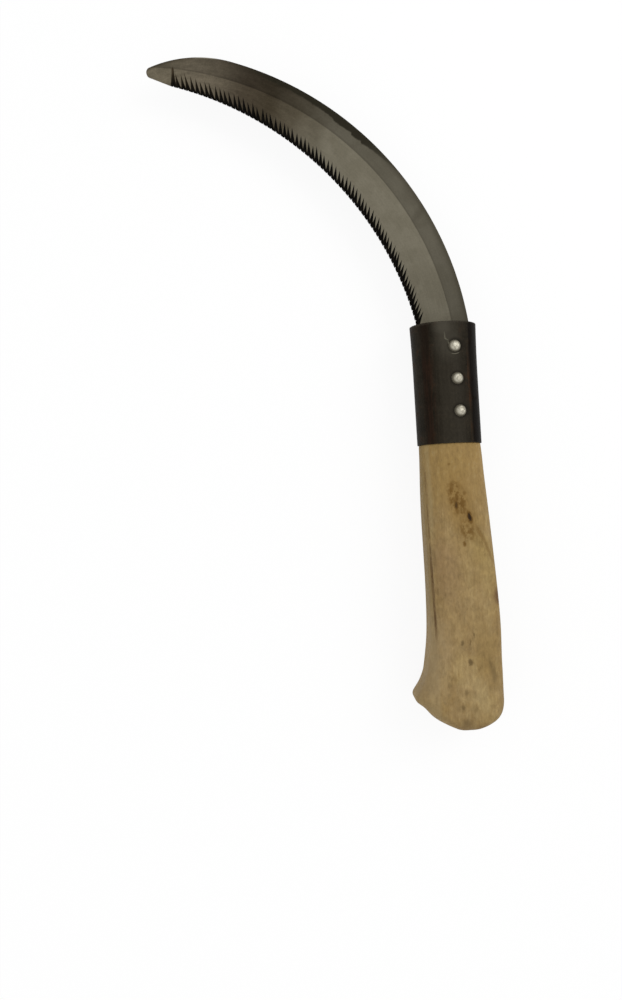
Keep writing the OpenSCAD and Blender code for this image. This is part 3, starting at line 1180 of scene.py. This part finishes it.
@dataclass(frozen=True)
class BlackenedTube:
    """Ferrule steel: a brown-black satin skin with streaks, rust and a scratch."""

    axis: Vector
    view: Viewpoint
    highlight_z: float = 14.5
    rivet_z: float = 15.0

    def build(self) -> bpy.types.Material:
        """Makes the finish."""
        recipe = Recipe.named("blackened_tube")
        here = recipe.from_point(self.axis)
        x, y, z = recipe.parts(here)
        round_angle = x.angle_from(z)
        streaks = recipe.noise(recipe.vector(x, y * 0.06, z), 0.5, 4.0, 0.6)
        blotch = recipe.noise(here, 0.16, 4.0, 0.55, 0.6)
        grain = recipe.noise(here, 1.8, 4.0, 0.65)
        recipe.colour = recipe.two_tone(blotch.rise(0.35, 0.68), (29, 25, 18), (38, 33, 25))
        # Rust shows through where the skin is thin
        rust = blotch.rise(0.54, 0.7) * streaks.rise(0.42, 0.6)
        recipe.coat(rust * 0.5, (58, 36, 21))
        recipe.coat(grain.rise(0.5, 0.75) * 0.3, (60, 57, 47))
        # Painted light along its length: a painted highlight down the middle, and painted shade in bands by
        # both sides
        lean = round_angle + (streaks - 0.5) * 16
        painted_highlight_band = lean.span(-34, -8, 10, 36)
        painted_shade_right = lean.span(38, 44, 57, 78)
        painted_shade_left = lean.span(-56, -47, -38, -28)
        recipe.coat(painted_highlight_band * 0.75, (50, 46, 38))
        recipe.coat(painted_shade_right * 0.95, (9, 5, 2))
        recipe.coat(painted_shade_left * 0.7, (27, 18, 11))
        threads = recipe.noise(recipe.vector(x, y * 0.07, z), 1.0, 3.0, 0.6, 0.5)
        red = lean.span(-58, -46, -34, -20) * threads.rise(0.44, 0.58) * y.rise(-8, -20)
        recipe.coat(red * 0.42, (46, 28, 19))
        red_edge = lean.span(33, 37, 38, 44) * threads.rise(0.42, 0.58) * y.rise(-8, -20)
        recipe.coat(red_edge * 0.5, (56, 36, 22))
        speck = recipe.noise(here, 0.9, 4.0, 0.7)
        tone = threads.between(0.7, 1.3) * speck.between(0.6, 1.4)
        recipe.shade(1.0, tone)
        edge = y.rise(-0.9, -0.1).larger(y.fall(-55.7, -54.8)) * grain.rise(0.35, 0.6)
        recipe.coat(edge * 0.35, (80, 74, 64))
        # Painted highlights round the upper rivet and by the rim, and a painted shadow at each head's foot
        for mark in FERRULE_HIGHLIGHTS:
            highlight_patch = self.view.oval(recipe, here, mark, self.highlight_z, 1.4) * z.rise(6, 10)
            recipe.coat(highlight_patch * mark.tone, (84, 80, 70))
        # A painted shadow on the ferrule round each head's foot
        for mark in RIVET_SHADOWS:
            foot = self.view.oval(recipe, here, mark, self.rivet_z, 0.5) * z.rise(6, 10)
            recipe.coat(foot * mark.tone, (16, 12, 8))
        # The hammer's ring round the upper rivet, pale below it, and a broken scratch above
        front = z.rise(6, 10)
        rivet_x, rivet_y = self.view.spot(*UPPER_RIVET, self.rivet_z)
        reach = recipe.length(recipe.vector(x - rivet_x, y - rivet_y))
        below = (rivet_y - y + (x - rivet_x) * 0.1).rise(3.2, 3.8)
        lip = abs(reach - 3.85 + (grain - 0.5) * 0.3).fall(0.06, 0.3) * below
        warped = recipe.vector(x + (grain - 0.5) * 1.1, y + (grain - 0.5) * 0.8, z)
        scratch = largest(self.view.oval(recipe, warped, mark, self.rivet_z, 1.2) for mark in SCRATCH)
        scratch = scratch * speck.rise(0.36, 0.52).between(0.25, 1.15)
        scuff = (scratch * 0.42).larger(lip * 0.6) * front
        recipe.coat(scuff, (118, 114, 98))
        rough = streaks.between(0.42, 0.58) + rust * 0.2
        height = grain * 0.03 + blotch * 0.2 - scratch * front * 0.05 + lip * front * 0.08
        return recipe.finish(
            Roughness=rough,
            Metallic=0.0,
            Specular_IOR_Level=0.03,
            Normal=recipe.relief(height, 0.7),
        )


@dataclass
class Ferrule:
    """The riveted steel tube, in millimetres."""

    datum: Datum
    view: Viewpoint
    length: float = 56.0
    mouth_r: float = 15.4
    collar_r: float = 14.97
    flare: float = 24.0
    wall: float = 1.2
    rim: float = 0.3
    sides: int = 96
    rings: int = 27
    # Length to trim off each end, and how far each end's middle is moved and leans
    spare: float = 1.0
    mouth_cut: tuple[float, float] = (0.25, 0.9)
    collar_cut: tuple[float, float] = (0.68, 0.86)

    def radius(self, depth: float) -> float:
        """Gives the tube's outer radius at a depth, wider towards the mouth."""
        left = max(0.0, 1 - depth / self.flare)
        return self.collar_r + (self.mouth_r - self.collar_r) * left**2

    def build(self) -> Workpiece:
        """Makes the tube and puts it in the frame."""
        middle = self.datum.at(0, -self.length / 2)
        tube = Workpiece.begin(
            "ferrule_tube",
            bpy.ops.mesh.primitive_cylinder_add,
            vertices=self.sides,
            radius=self.mouth_r * MM,
            depth=(self.length + 2 * self.spare) * MM,
            end_fill_type="NOTHING",
            location=middle,
            rotation=(math.radians(90), 0, 0),
        )
        tube.edit(Pick.EDGES)
        tube.pick(lambda _, way: abs(way.y) > 0.9)
        bpy.ops.mesh.subdivide(number_cuts=self.rings)
        tube.close()
        tube.edit(Pick.POINTS)
        for ring in range(self.rings + 2):
            depth = (self.length + 2 * self.spare) * ring / (self.rings + 1) - self.spare
            centre = self.datum.at(0, -depth)
            share = self.radius(depth) / self.mouth_r
            tube.pick(lambda place, _: abs(place.y - centre.y) < 0.2 * MM)
            tube.resize((share, 1, share), centre)
        # Both ends are sawn a little out of square
        for depth, (rise, lean), way in ((0.0, self.mouth_cut, 1), (self.length, self.collar_cut, -1)):
            square = turn(90 - lean) * way
            tube.slice(self.datum.at(0, rise - depth), Vector((*square, 0)), trim=True)
        tube.close()
        tube.modify("SOLIDIFY", thickness=self.wall * MM, offset=-1.0)
        tube.modify("BEVEL", width=self.rim * MM, segments=3, limit_method="ANGLE", angle_limit=1.0)
        tube.smooth(40)
        tube.dress(BlackenedTube(self.datum.at(0, 0), self.view).build())
        tube.hand_over("ferrule", Slot.FERRULE)
        return tube


# The rivets


@dataclass(frozen=True)
class HammeredRivet:
    """Soft bright rivet metal with dull scratches, and painted shade round its foot."""

    datum: Datum

    def build(self) -> bpy.types.Material:
        """Makes the finish."""
        recipe = Recipe.named("hammered_rivet")
        here = recipe.from_point(self.datum.at(0, 0))
        x, _, z = recipe.parts(here)
        from_axis = recipe.length(recipe.vector(x, 0.0, z))
        dull = recipe.noise(here, 0.8, 3.0, 0.6)
        fine = recipe.noise(here, 4.0, 4.0, 0.65, 0.5)
        recipe.colour = recipe.two_tone(dull.rise(0.35, 0.65), (184, 180, 166), (150, 145, 130))
        # Painted shade round the head's foot
        foot = (from_axis + (fine - 0.5) * 0.3 + (dull - 0.5) * 0.8).fall(15.4, 16.4)
        recipe.coat(foot * 0.85, (84, 78, 64))
        rough = fine.between(0.42, 0.6) + foot * 0.25
        return recipe.finish(
            Roughness=rough,
            Metallic=1.0,
            Normal=recipe.relief(fine * 0.012 + dull * 0.05, 0.8),
        )


@dataclass(frozen=True)
class Dome:
    """One hammered end of a rivet, in millimetres."""

    name: str
    width: float
    height: float
    blows: int


@dataclass
class Rivets:
    """Three rivets through ferrule, wood and tang, in millimetres and degrees."""

    datum: Datum
    ferrule: Ferrule
    names: tuple[str, ...] = ("upper_rivet", "middle_rivet", "lower_rivet")
    row: RivetRow = RivetRow()
    shank_r: float = 1.5
    head: Dome = Dome("rivet_head", 5.5, 1.65, 7)
    tail: Dome = Dome("rivet_tail", 5.0, 1.1, 9)
    skirt: float = 0.6
    first_seed: int = 40
    # Each blow's lean from the axis, its play round it, its depth, and the height that it leaves
    blow_lean: tuple[float, float] = (6.0, 36.0)
    blow_play: float = 20.0
    blow_depth: tuple[float, float] = (0.972, 0.988)
    blow_keep: float = 0.35

    def build(self) -> list[Workpiece]:
        """Makes the rivets and puts them in the frame."""
        finish = HammeredRivet(self.datum).build()
        made = []
        for number, node in enumerate(self.names):
            rivet = self._rivet(number)
            rivet.dress(finish)
            rivet.hand_over(node, Slot.RIVET)
            made.append(rivet)
        return made

    def _rivet(self, number: int) -> Workpiece:
        """Makes one rivet with its own hammer marks."""
        hand = random.Random(self.first_seed + number)
        x, y = self.row.place(number)
        surface = self.ferrule.radius(-y)
        tilt = math.asin(x / surface)
        centre = Matrix.Translation(self.datum.at(0, y))
        shank = Workpiece.begin(
            f"rivet_{number + 1}",
            bpy.ops.mesh.primitive_cylinder_add,
            vertices=32,
            radius=self.shank_r * MM,
            depth=2 * surface * MM,
            location=self.datum.at(x, y),
        )
        for dome, way in ((self.head, tilt), (self.tail, math.pi - tilt)):
            place = centre @ Matrix.Rotation(way, 4, "Y") @ Matrix.Translation((0, 0, surface * MM))
            shank.combine(self._dome(dome, hand, place), "UNION")
        shank.smooth(50)
        return shank

    def _dome(self, shape: Dome, hand: random.Random, place: Matrix) -> Workpiece:
        """Turns a dome, hammers flats on it and sets it in place.

        Args:
            shape: Its sizes and its number of blows.
            hand: Where the blows' directions come from.
            place: Where its foot goes.

        Returns:
            The dome.
        """
        height = shape.height
        ball = ((shape.width / 2) ** 2 + height**2) / 2 / height
        dome = Workpiece.begin(
            shape.name,
            bpy.ops.mesh.primitive_uv_sphere_add,
            segments=64,
            ring_count=40,
            radius=ball * MM,
            location=(0, 0, (height - ball) * MM),
        )
        dome.edit(Pick.POINTS)
        dome.slice(Vector((0, 0, -self.skirt * MM)), Vector((0, 0, -1)), trim=True, fill=True)
        middle = Vector((0, 0, (height - ball) * MM))
        for blow in range(shape.blows):
            lean = math.radians(hand.uniform(*self.blow_lean))
            side = math.radians(360 * blow / shape.blows + hand.uniform(-self.blow_play, self.blow_play))
            out = math.sin(lean)
            facing = Vector((out * math.cos(side), out * math.sin(side), math.cos(lean)))
            flat = middle + facing * ball * hand.uniform(*self.blow_depth) * MM
            dome.pick(lambda place, _: (place - flat).dot(facing) > 0)
            dome.flatten(flat, facing, self.blow_keep)
        dome.close()
        dome.made.data.transform(place)
        return dome


# The handle


KNOTS = (
    Mark((469.7, 516.9), (1.0, 2.7), 1.0, 12),
    Mark((456.3, 505.0), (0.95, 2.3), 0.8, 4),
    Mark((463.0, 503.5), (1.3, 1.8), 0.4, 20),
    Mark((451.5, 487.0), (1.1, 2.6), 0.34),
    Mark((449.0, 494.0), (0.6, 1.2), 0.34),
    Mark((457.5, 497.0), (0.8, 2.4), 0.36, 10),
    Mark((464.5, 493.0), (0.9, 1.2), 0.36),
    Mark((458.8, 487.0), (0.9, 2.0), 0.24),
    Mark((457.5, 511.5), (0.9, 1.6), 0.4),
    Mark((467.0, 526.0), (0.9, 1.1), 0.34),
    Mark((464.8, 533.0), (0.8, 1.6), 0.24),
    Mark((471.5, 538.0), (0.9, 1.2), 0.22),
    Mark((464.7, 543.8), (0.8, 1.2), 0.56),
    Mark((449.0, 464.0), (0.8, 0.6), 0.32),
    Mark((480.8, 534.0), (1.0, 5.5), 0.34, 26),
    Mark((489.0, 550.0), (0.9, 6.0), 0.3, 20),
    Mark((471.7, 538.3), (0.8, 1.0), 0.36, 20),
    Mark((462.5, 643.3), (0.7, 1.2), 0.48),
    Mark((470.5, 642.5), (0.4, 1.3), 0.4),
    Mark((473.7, 634.2), (0.45, 1.9), 0.34, 14),
    Mark((470.8, 662.2), (1.1, 1.5), 0.6, 6),
    Mark((491.0, 665.0), (0.8, 2.6), 0.36, 8),
    Mark((494.0, 673.0), (1.5, 5.5), 0.3, 8),
    Mark((484.0, 655.0), (0.4, 2.0), 0.2, 12),
    Mark((449.7, 685.8), (0.9, 1.5), 0.26),
    Mark((466.7, 693.3), (0.8, 1.8), 0.34),
    Mark((463.7, 708.0), (0.9, 1.3), 0.36),
    Mark((475.8, 709.2), (2.0, 2.2), 0.24),
    Mark((467.5, 724.0), (2.2, 2.2), 0.34),
    Mark((437.0, 700.0), (0.6, 2.6), 0.2, -8),
    Mark((438.5, 592.5), (0.6, 2.0), 0.26),
    Mark((445.5, 595.0), (0.5, 1.6), 0.26),
)


@dataclass(frozen=True)
class Stain(Mark):
    """A broad soft patch of another shade."""

    colour: Tint = (255, 255, 255)


STAINS = (
    Stain((459.0, 503.0), (6.0, 14.0), 0.6, 12, (134, 105, 56)),
    Stain((447.0, 566.0), (6.0, 13.0), 0.6, 4, (134, 109, 76)),
    Stain((484.0, 560.0), (4.5, 15.0), 0.4, 14, (148, 126, 74)),
    Stain((452.0, 622.0), (7.0, 15.0), 0.4, 0, (136, 112, 76)),
    Stain((483.0, 697.0), (3.6, 9.0), 0.5, 0, (168, 147, 104)),
    Stain((469.0, 678.0), (3.0, 7.5), 0.45, 0, (166, 144, 102)),
    Stain((486.0, 652.0), (4.2, 15.0), 0.6, 8, (134, 110, 66)),
    Stain((476.0, 595.0), (6.0, 20.0), 0.3, 4, (162, 139, 96)),
    Stain((440.0, 655.0), (5.0, 16.0), 0.5, 0, (152, 132, 98)),
)


# The crack's two ends, the bark on the right side, and the brown flecks round the darkest knot
CRACK = ((426.0, 472.0), (436.5, 640.0))
BARK = Mark((498.5, 596.0), (2.4, 3.6), 0.7)
CLUSTER = Mark((457.0, 498.0), (3.6, 8.0), 1.0, 14)
TRAIL = Mark((478.0, 535.0), (1.8, 10.0), 0.4, 32)
BELOW = Mark((467.5, 530.0), (3.4, 4.8), 0.75, 20)
HALO = Mark((469.7, 517.3), (2.2, 4.2), 0.3, 14)


@dataclass(frozen=True)
class OldHardwood:
    """Pale hardwood: long fibres, pores, a crack down the left side, knots and stains."""

    datum: Datum
    view: Viewpoint
    face: float = 14.7
    bark_z: float = 10.3

    def build(self) -> bpy.types.Material:
        """Makes the finish."""
        recipe = Recipe.named("old_hardwood")
        here = recipe.from_point(self.datum.at(0, 0))
        x, y, z = recipe.parts(here)
        sway = recipe.noise(recipe.vector(x * 0.05, y * 0.02, z * 0.05), 1.0, 2.0)
        bend = (sway - 0.5) * 9
        fibre_place = recipe.vector(x + bend, y * 0.06, z + bend)
        broad = recipe.noise(fibre_place, 0.13, 2.0, 0.5, 0.6)
        fibres = recipe.noise(fibre_place, 1.2, 5.0, 0.62)
        pores = recipe.noise(recipe.vector(x, y * 0.2, z), 2.4, 3.0, 0.7)
        cloud = recipe.noise(here, 0.08, 3.0, 0.5)
        mottle = recipe.noise(recipe.vector(x, y * 0.5, z), 0.5, 3.0, 0.6)
        hairs = recipe.noise(recipe.vector(x, y * 0.03, z), 4.0, 2.0, 0.6)

        recipe.colour = recipe.ramp(
            broad,
            (
                (0.32, linear((134, 110, 69))),
                (0.46, linear((143, 119, 76))),
                (0.56, linear((148, 125, 82))),
                (0.70, linear((155, 132, 88))),
            ),
        )
        recipe.coat(cloud.rise(0.42, 0.62) * 0.5, (137, 115, 80))
        recipe.coat(y.rise(-98, -62) * 0.65, (147, 119, 68))
        recipe.coat(mottle.fall(0.36, 0.54) * 0.4, (126, 102, 62))
        recipe.coat(mottle.rise(0.54, 0.7) * 0.35, (164, 142, 99))
        recipe.coat(fibres.fall(0.36, 0.52) * 0.14, (118, 94, 56))
        recipe.coat(fibres.rise(0.56, 0.72) * 0.14, (168, 146, 106))
        recipe.coat(hairs.rise(0.55, 0.7) * y.fall(-60, -90) * 0.1, (112, 88, 54))
        pore = pores.rise(0.6, 0.68)
        recipe.coat(pore * 0.2, (100, 77, 44))

        front = z.rise(2, 9)
        for stain in STAINS:
            patch = self.view.oval(recipe, here, stain, self.face, 1.4) * front
            recipe.coat(patch * mottle.between(0.4, 1.6) * stain.tone, stain.colour)

        lumps = recipe.noise(recipe.vector(x, y * 0.8, z), 0.28, 3.0, 0.6, 0.8)
        grit = recipe.noise(recipe.vector(x, y * 0.4, z), 0.9, 4.0, 0.7)
        tone = lumps.between(0.74, 1.26) * grit.between(0.7, 1.3) * fibres.between(0.92, 1.08)
        recipe.shade(y.fall(-98, -66).between(0.5, 1.0), tone)
        # Left of the crack the side turns away and has painted shade, greener and greyer, and its lip is
        # paler
        top, foot = (self.view.spot(*end, self.face) for end in CRACK)
        slope = (foot[0] - top[0]) / (foot[1] - top[1])
        crack_x = (y - top[1]) * slope + top[0] + 0.35 + (sway - 0.5) * 1.2 + (broad - 0.5) * 0.7
        beside = x - crack_x
        left = beside.fall(-1.2, 1.0)
        upper = y.rise(-150, -118)
        side_shade_tint = recipe.two_tone(upper, (142, 124, 92), (118, 102, 66))
        # Painted shade on the side left of the crack
        recipe.coat(left * 0.45, side_shade_tint)
        recipe.coat(left * hairs.rise(0.48, 0.66) * upper.between(0.1, 0.3), (90, 74, 44))
        lip = abs(beside - 1.3).fall(0.0, 1.6) * y.rise(-105, -85) * front
        recipe.coat(lip * 0.3, (154, 139, 103))
        reach = y.fall(top[1] - 2, top[1] + 4) * y.rise(foot[1] - 3, foot[1] + 5)
        open_by = y.rise(-102, -114) * 0.2
        crack = (abs(beside + (fibres - 0.5) * 0.5) - open_by).fall(0.08, 0.42) * reach * front
        crack = crack * mottle.rise(0.38, 0.54).larger(open_by * 3)
        recipe.coat(crack * y.rise(-102, -114).between(0.5, 0.8), (82, 57, 30))
        # A scar of bark on the right side, so it is an oval in z and y
        scar = (self.bark_z, self.view.spot(*BARK.spot, self.bark_z)[1])
        bark = recipe.spot(recipe.vector(z, y), scar, BARK.half, BARK.tilt, 1.0) * x.rise(8, 12)
        recipe.coat(bark * BARK.tone, (74, 42, 20))

        # Knots and specks of the face, drawn out along the fibres
        wander = recipe.noise(here, 0.9, 3.0, 0.7)
        fleck = recipe.noise(recipe.vector(x, y * 0.62, z), 0.56, 3.0, 0.6)
        warped = recipe.vector(x + (wander - 0.5) * 1.4, y + (wander - 0.5) * 1.6, z)

        def there(mark: Mark, soft: float) -> Value:
            """Marks an oval on the face, drawn out of shape by the fibres."""
            return self.view.oval(recipe, warped, mark, self.face, soft)

        knots = largest(there(mark, 1.5) * mark.tone for mark in KNOTS)
        cluster, trail, below = there(CLUSTER, 1.2), there(TRAIL, 1.4), there(BELOW, 1.4)
        flecked = cluster.larger(trail * TRAIL.tone).larger(below * BELOW.tone) * fleck.rise(0.36, 0.62)
        dark = knots.larger(flecked * 0.62) * front
        halo = there(HALO, 1.6) * front
        recipe.coat(halo * HALO.tone, (116, 88, 46))
        brown = recipe.two_tone(y.rise(-128, -110), (96, 78, 48), (100, 71, 26))
        recipe.coat(dark.rise(0.0, 0.55) * 0.85, brown)
        recipe.coat(dark.rise(0.5, 1.0) * 0.95, (36, 22, 9))

        # The butt is darker: painted shade where it rounds off, and its end grain drinks in dirt, as end
        # grain does in the ferrule's mouth
        recipe.coat(y.fall(-188.5, -182) * 0.5, (104, 80, 48))
        rings = recipe.noise(recipe.vector(x * 0.3, z + sway * 4), 0.9, 2.0, 0.5)
        sawn = y.rise(-2.0, -1.2) * rings.between(0.6, 0.95)
        recipe.coat(sawn, (84, 64, 38))
        # The relief reads few values, because too long a recipe renders black
        rough = fibres.between(0.56, 0.76)
        height = fibres * 0.14 - pore * 0.1 - crack * 0.4
        return recipe.finish(
            Roughness=rough,
            Metallic=0.0,
            Specular_IOR_Level=0.12,
            Normal=recipe.relief(height, 0.6),
        )


@dataclass(frozen=True)
class Hoop:
    """One section of the handle, in millimetres.

    Args:
        depth: Distance below the ferrule's mouth.
        front: Reach from the axis to the toothed side.
        back: Reach to the other side.
        half: Half the thickness.
        corner: Radius of its corners.
        lean: How far it is out of square, in degrees.
    """

    depth: float
    front: float
    back: float
    half: float = 14.7
    corner: float = 8.0
    lean: float = 0.0

    @classmethod
    def ring(cls, depth: float, radius: float, lean: float = 0.0) -> "Hoop":
        """Makes a round section."""
        return cls(depth, radius, radius, radius, radius, lean)

    def square(self) -> Vector:
        """Gives the way that the section faces."""
        return Vector((*turn(90 - self.lean), 0))


SHOULDER_LEAN = 0.86


@dataclass
class Handle:
    """The hardwood handle with its tenon, in millimetres."""

    datum: Datum
    view: Viewpoint
    # The round stock that it is shaped from
    stock_r: float = 14.0
    sides: int = 40
    # A point this near to a section's plane is on its ring
    ring_reach: float = 0.03
    # The slot's width, length and thickness, and its middle's distance from the mouth
    kerf: tuple[float, float, float] = (40.0, 52.5, 1.6)
    kerf_middle: float = 23.25
    hoops: tuple[Hoop, ...] = (
        Hoop.ring(1.0, 13.5),
        Hoop.ring(1.3, 13.72),
        Hoop.ring(28.0, 13.7),
        Hoop.ring(54.7, 13.7, SHOULDER_LEAN),
        Hoop.ring(55.1, 13.72, SHOULDER_LEAN),
        Hoop.ring(55.35, 14.3, SHOULDER_LEAN),
        Hoop.ring(55.9, 14.45, SHOULDER_LEAN),
        Hoop(61.5, 14.45, 14.75, 14.5, 13.9),
        Hoop(70.0, 14.65, 14.8, 14.7, 12.5),
        Hoop(80.0, 14.8, 15.2, 14.7, 10.4),
        Hoop(92.0, 14.75, 15.7, 14.7, 9.0),
        Hoop(104.0, 14.6, 16.3, 14.7, 8.4),
        Hoop(116.0, 14.5, 16.9),
        Hoop(127.0, 14.65, 17.45),
        Hoop(138.0, 14.95, 17.8),
        Hoop(146.0, 15.5, 17.7),
        Hoop(152.2, 16.4, 17.45),
        Hoop(157.5, 17.3, 17.35),
        Hoop(161.2, 17.9, 17.4),
        Hoop(164.2, 19.2, 17.35),
        Hoop(167.2, 20.6, 17.3),
        Hoop(170.2, 23.0, 17.25),
        Hoop(172.4, 24.1, 17.25),
        Hoop(174.2, 23.0, 17.25),
        Hoop(176.0, 20.2, 17.2),
        Hoop(178.6, 18.2, 16.8, 14.6, 8.0),
        Hoop(181.2, 15.9, 15.95, 14.4, 8.0),
        Hoop(183.6, 12.5, 14.3, 13.8, 8.0),
        Hoop(185.6, 9.0, 11.5, 12.8, 7.4),
        Hoop(187.2, 5.6, 7.5, 11.0, 4.6),
        Hoop(188.2, 2.9, 3.5, 8.4, 2.0),
    )

    def build(self) -> Workpiece:
        """Makes the handle and puts it in the frame."""
        first, last = self.hoops[0], self.hoops[-1]
        wood = Workpiece.begin(
            "handle_wood",
            bpy.ops.mesh.primitive_cylinder_add,
            vertices=self.sides,
            radius=self.stock_r * MM,
            depth=(last.depth - first.depth) * MM,
            location=self.datum.at(0, -(first.depth + last.depth) / 2),
            rotation=(math.radians(90), math.radians(180 / self.sides), 0),
        )
        wood.edit(Pick.POINTS)
        for hoop in self.hoops[1:-1]:
            wood.slice(self.datum.at(0, -hoop.depth), hoop.square())
        for hoop in self.hoops:
            self._shape(wood, hoop)
        wood.merge(DOUBLED_FINE)
        wood.close()
        wood.modify("SUBSURF", levels=2, render_levels=2)
        self._saw_kerf(wood)
        wood.smooth(60)
        wood.dress(OldHardwood(self.datum, self.view).build())
        wood.hand_over("handle", Slot.WOOD)
        return wood

    def _shape(self, wood: Workpiece, hoop: Hoop) -> None:
        """Draws one ring of points in to its corners and pulls its four quarters apart.

        Args:
            wood: The handle on the bench.
            hoop: The section the ring gets.
        """
        centre = self.datum.at(0, -hoop.depth)
        square = hoop.square()
        share = hoop.corner / self.stock_r

        def on_ring(place: Vector) -> bool:
            """Tells whether a point is on the ring."""
            return abs((place - centre).dot(square)) < self.ring_reach * MM

        wood.pick(lambda place, _: on_ring(place))
        wood.resize((share, 1, share), centre)
        for way, reach in (
            (Vector((-1, 0, 0)), hoop.front),
            (Vector((1, 0, 0)), hoop.back),
            (Vector((0, 0, -1)), hoop.half),
            (Vector((0, 0, 1)), hoop.half),
        ):
            wood.pick(lambda place, _: on_ring(place) and (place - centre).dot(way) > 0)
            wood.move(way * (reach - hoop.corner) * MM)

    def _saw_kerf(self, wood: Workpiece) -> None:
        """Saws the slot for the tang, in from the tenon's end."""
        saw = Workpiece.begin(
            "saw",
            bpy.ops.mesh.primitive_cube_add,
            size=1.0,
            location=self.datum.at(0, -self.kerf_middle),
            scale=tuple(size * MM for size in self.kerf),
        )
        wood.combine(saw, "DIFFERENCE")


def main() -> None:
    """Builds the sickle and its studio, and reports each piece."""
    logging.basicConfig(level=logging.INFO, format="%(name)s: %(message)s")
    cad_low, cad_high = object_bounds()
    datum = Datum.from_frame()
    view = Viewpoint(datum)
    view.build()
    Studio().build()
    Blade(datum).build()
    ferrule = Ferrule(datum, view)
    ferrule.build()
    Rivets(datum, ferrule).build()
    Handle(datum, view).build()
    low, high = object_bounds()
    boxes = {"cad": [list(cad_low), list(cad_high)], "visual": [list(low), list(high)]}
    for name, (start, end) in boxes.items():
        log.info("%s box: %s to %s", name, [round(v, 5) for v in start], [round(v, 5) for v in end])


if __name__ == "__main__":
    main()
